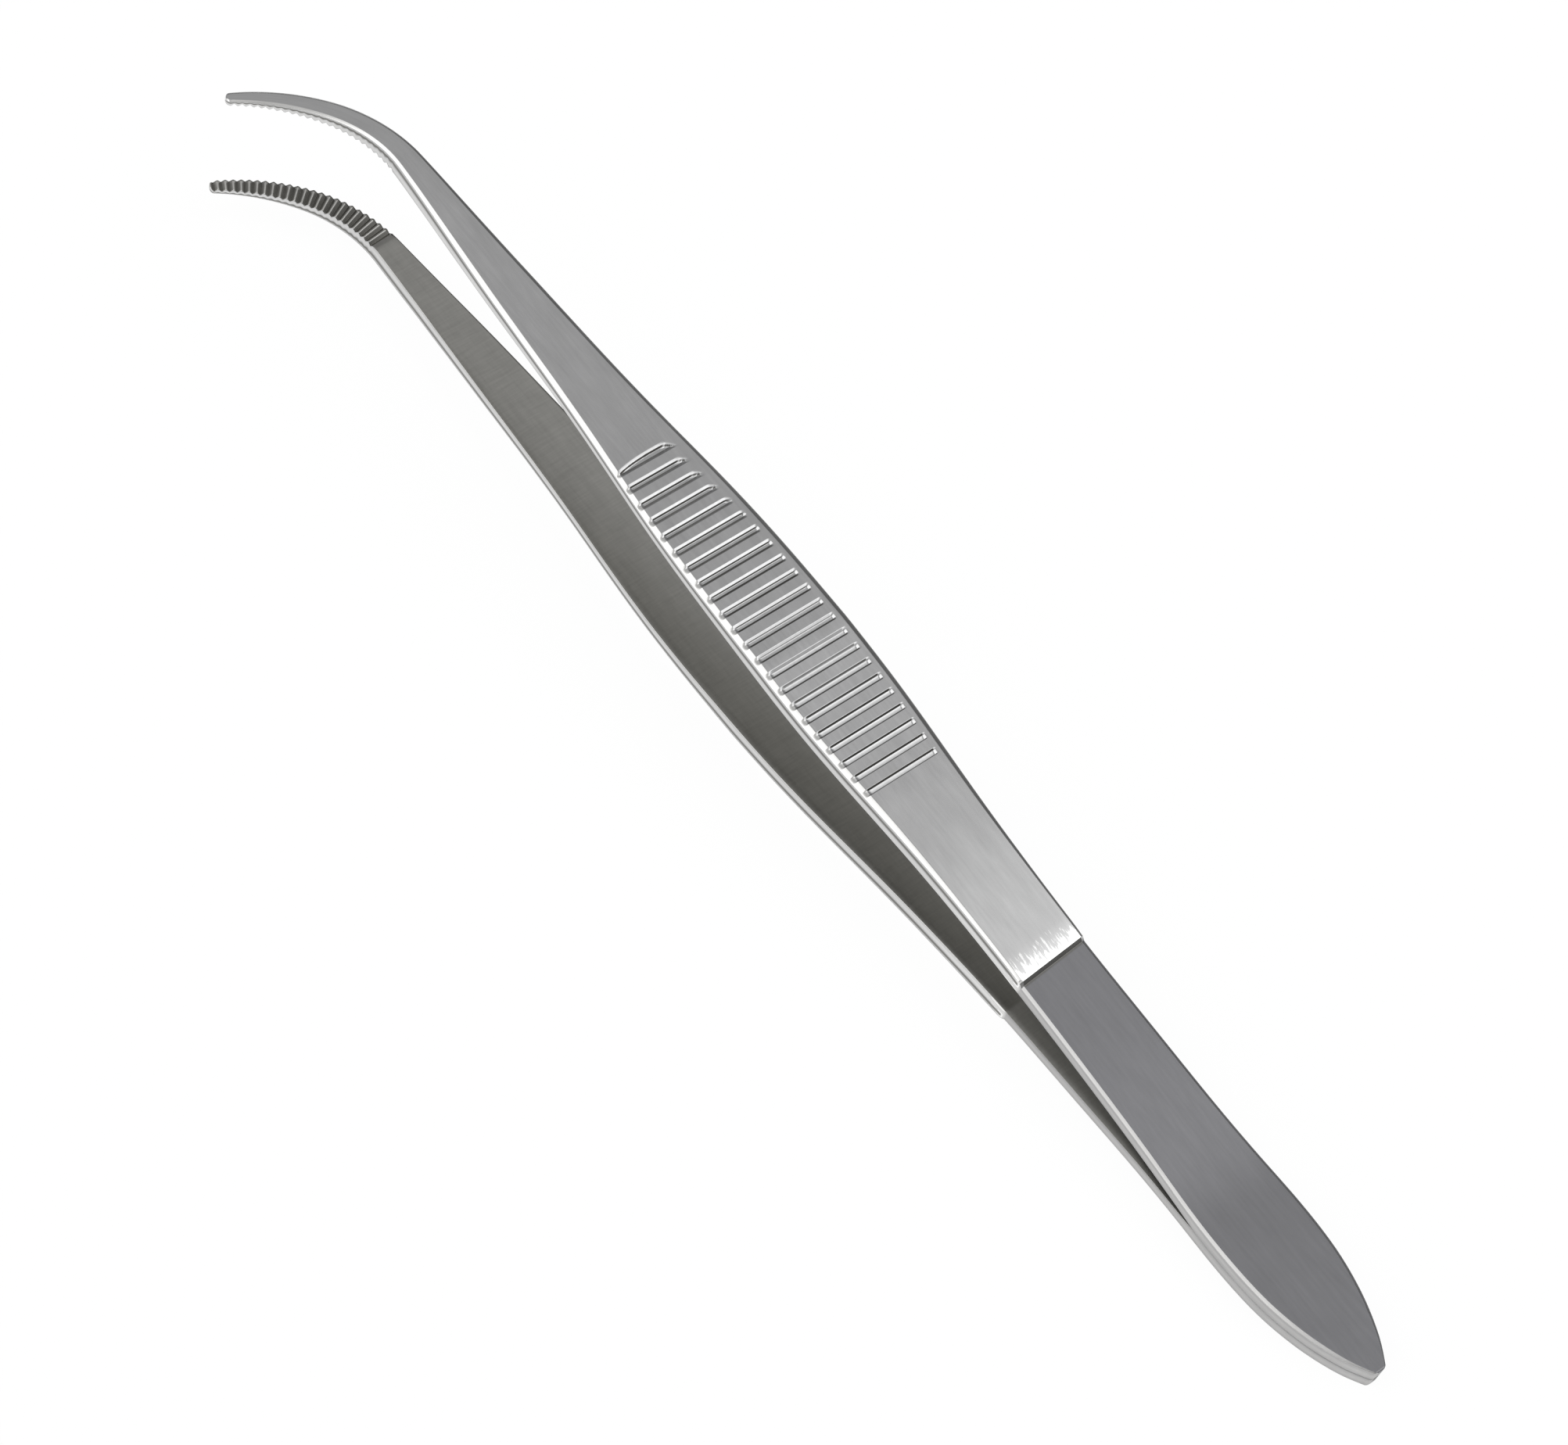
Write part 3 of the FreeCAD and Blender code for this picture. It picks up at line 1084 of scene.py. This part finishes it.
@dataclass(frozen=True)
class SatinSteel:
    """Stainless steel: matt heel, brushed body, duller inside, painted
    highlights and shade.
    """

    name: str = "satin_steel_arm"
    heel: tuple[float, float, float] = (0.243, 0.243, 0.254)
    body: tuple[float, float, float] = (0.556, 0.556, 0.558)
    # Colour of the painted sheen past the shoulder.
    painted_sheen: tuple[float, float, float] = (0.93, 0.93, 0.925)
    inside: tuple[float, float, float] = (0.40, 0.395, 0.375)
    # Dark colour: painted shade where the tone is low, and the darker jaws'
    # inner face.
    painted_shade_and_dark: tuple[float, float, float] = (0.16, 0.157, 0.145)
    # Colour of the painted highlights.
    painted_highlight: tuple[float, float, float] = (0.92, 0.91, 0.88)
    # Noise stretched along, across and up the arm.
    grinding: tuple[float, float, float] = (0.16, 2.4, 2.4)
    scratches: tuple[float, float, float] = (0.9, 4.6, 4.6)
    cross_lines: tuple[float, float, float] = (6.0, 0.5, 0.5)
    clouds: tuple[float, float, float] = (0.3, 0.7, 0.7)
    # The painted highlight past the shoulder, scratched: offset and slope of
    # its edge, its sharpness, where it ends, and the wall tones that it leaves
    # out.
    shoulder: float = 36.35
    patch: tuple[float, float] = (0.35, 0.17)
    patch_edge: tuple[float, float] = (0.6, 0.76)
    patch_end: tuple[float, float] = (1.8, 4.5)
    patch_walls: tuple[float, float] = (0.58, 0.64)
    patch_lift: float = 0.04
    # The painted sheen that lightens the body past the patch, and its
    # strength.
    sheen_fade: tuple[float, float] = (0.5, 15.0)
    sheen_share: float = 0.16
    # The jaws' inner face: where it starts and how its darkening fades.
    jaws: tuple[float, float] = (113.6, 114.6)
    jaws_fade: tuple[float, float] = (115.6, 125.6)
    jaws_darkening: tuple[float, float] = (0.85, 0.6)
    # Tones over which the painted highlight, and under which the painted
    # shade, comes in.
    painted_highlight_tones: tuple[float, float] = (0.55, 1.0)
    painted_shade_tones: tuple[float, float] = (0.05, 0.45)
    relief: tuple[float, float] = (0.12, 0.00001)

    def build(self) -> bpy.types.Material:
        """Make the material.

        Returns:
            The node material.
        """
        shader, material = Shader.material(self.name)
        flow = shader.attribute("flow")
        s, _, _ = shader.axes(flow)
        tone, inside, body = shader.axes(shader.attribute("painted_tone"))
        lines = shader.noise(flow, self.grinding, 1.6)
        streaks = shader.noise(flow, self.scratches)
        cross = shader.noise(flow, self.cross_lines, detail=4.0)
        cloud = shader.noise(flow, self.clouds)
        # Painted sheen past the shoulder: a scratched patch, then a lighter
        # run down the body.
        past = s - self.shoulder
        offset, slope = self.patch
        on_wall = (tone - self.patch_lift * body).band(*self.patch_walls)
        near = ((streaks + offset - slope * past).band(*self.patch_edge)
                * (1.0 - past.band(*self.patch_end)) * (1.0 - on_wall))
        sheen_fade = 1.0 - past.band(*self.sheen_fade)
        face = shader.mix((self.sheen_share * sheen_fade + near).clamp(), self.body,
                          self.painted_sheen)
        face = shader.mix(body, self.heel, face)
        # Darker inner face on the jaws, fading to the tip.
        most, less = self.jaws_darkening
        inner = shader.mix(
            s.band(*self.jaws) * (most - less * s.band(*self.jaws_fade)),
            self.inside, self.painted_shade_and_dark)
        face = shader.mix(inside, face, inner)
        # Painted highlights where the tone is high, painted shade where it is
        # low.
        face = shader.mix(tone.band(*self.painted_highlight_tones), face, self.painted_highlight)
        face = shader.mix(1.0 - tone.band(*self.painted_shade_tones), face, self.painted_shade_and_dark)
        grain = (0.80 + 0.2 * lines + 0.2 * cloud
                 + inside * (0.3 * cross - 0.15))
        tint = shader.node("ShaderNodeCombineColor", {},
                           {0: grain, 1: grain, 2: grain})
        colour = shader.mix(1.0, face, tint, "MULTIPLY")
        strength, height = self.relief
        bump = shader.node(
            "ShaderNodeBump", {},
            {"Strength": strength, "Distance": height,
             "Height": lines * (1.0 - inside) + cross * inside})
        roughness = 0.36 - 0.17 * body + 0.14 * inside + 0.08 * cloud
        surface = shader.node(
            "ShaderNodeBsdfPrincipled", {},
            {"Base Color": colour, "Metallic": 1.0, "Roughness": roughness,
             "Normal": bump})
        shader.finish(surface)
        return material


@dataclass(frozen=True)
class Studio:
    """White table, soft light and the photograph's camera.

    The camera's place and axes are in the design frame. A softbox has the
    heading of its centre, the cosines of its outer and inner rim, and its
    strength.
    """

    eye: tuple[float, float, float] = (-33.98906921, 162.06636303,
                                       298.15434178)
    right: tuple[float, float, float] = (-0.6158350, -0.7604295, 0.2061412)
    up: tuple[float, float, float] = (0.7381369, -0.4653693, 0.4884520)
    back: tuple[float, float, float] = (-0.2755015, 0.4529663, 0.8478918)
    lens: float = 111.7558680652682
    sensor: float = 36.0
    nearest: float = 0.01
    floor_size: float = 3.0
    white: tuple[float, float, float, float] = (0.9, 0.9, 0.9, 1.0)
    glow: float = 1.02
    glow_share: float = 0.93
    base: float = 0.2
    overhead: float = 0.32
    zenith: tuple[float, float] = (0.35, 0.8)
    horizon: tuple[float, float] = (0.0, 0.35)
    softboxes: tuple[tuple[tuple[float, float, float], float, float, float],
                     ...] = (((-0.45, -0.45, 0.77), 0.825, 0.985, 1.3),
                             ((0.25, 0.76, 0.60), 0.70, 0.92, 1.3))

    def camera(self, frame: RestFrame) -> None:
        """Place the camera as the photograph was taken.

        Args:
            frame: Where the design frame is.
        """
        data = bpy.data.cameras.new("photo_camera")
        data.sensor_fit = "HORIZONTAL"
        data.sensor_width = self.sensor
        data.lens = self.lens
        data.clip_start = self.nearest
        camera = bpy.data.objects.new("photo_camera", data)
        bpy.context.scene.collection.objects.link(camera)
        turn = Matrix.Rotation(-frame.angle, 3, "Y")
        axes = Matrix((self.right, self.up, self.back)).transposed()
        camera.matrix_world = (
            Matrix.Translation(frame.matrix() @ Vector(self.eye))
            @ (turn @ axes).to_4x4())
        bpy.context.scene.camera = camera

    def floor(self) -> None:
        """Lay the white table under the forceps."""
        mesh = bmesh.new()
        bmesh.ops.create_grid(mesh, x_segments=1, y_segments=1,
                              size=self.floor_size)
        data = bpy.data.meshes.new("table")
        mesh.to_mesh(data)
        mesh.free()
        table = bpy.data.objects.new("table", data)
        bpy.context.scene.collection.objects.link(table)
        shader, material = Shader.material("white_table")
        paths = shader.node("ShaderNodeLightPath", {}, {}, "Is Camera Ray")
        outputs = paths.socket.node.outputs
        seen = (paths + Wire(shader, outputs["Is Glossy Ray"])
                + Wire(shader, outputs["Is Transmission Ray"])).clamp()
        matt = shader.node("ShaderNodeBsdfDiffuse", {},
                           {"Color": self.white})
        glow = shader.node("ShaderNodeEmission", {},
                           {"Color": (1, 1, 1, 1), "Strength": self.glow})
        surface = shader.node("ShaderNodeMixShader", {},
                              {0: seen * self.glow_share, 1: matt, 2: glow})
        shader.finish(surface)
        data.materials.append(material)

    def sky(self) -> None:
        """Soft light from above, with two broad softboxes."""
        world = bpy.data.worlds.new("soft_boxes")
        bpy.context.scene.world = world
        world.use_nodes = True
        shader = Shader(world.node_tree)
        heading = shader.node("ShaderNodeTexCoord", {}, {}, "Generated")
        up = shader.along(heading, Vector((0, 0, 1)))
        light = self.base + self.overhead * up.band(*self.zenith)
        for centre, low, high, strength in self.softboxes:
            spot = shader.along(heading, Vector(centre)).band(low, high)
            light = light + strength * spot * up.band(*self.horizon)
        shader.finish(shader.node(
            "ShaderNodeBackground", {},
            {"Color": (1, 1, 1, 1), "Strength": light}), "World")


def main() -> None:
    """Load the frame, dress both arms and set up the studio."""
    logging.basicConfig(level=logging.INFO)
    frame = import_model()
    rest = RestFrame()
    studio = Studio()
    studio.camera(rest)
    steel = SatinSteel().build()
    for side, name, node in ((Side.UPPER, "upper_leaf", "upper_arm"),
                             (Side.LOWER, "lower_leaf", "lower_arm")):
        arm = Arm(side, name, node, ArmShape(), GripGrooves(), JawTeeth(),
                  rest)
        arm.dress(arm.build(), steel)
    studio.floor()
    studio.sky()
    bpy.context.scene.view_settings.view_transform = "Standard"
    LOG.info("pieces: %s", sorted(frame["nodes"]))


if __name__ == "__main__":
    main()
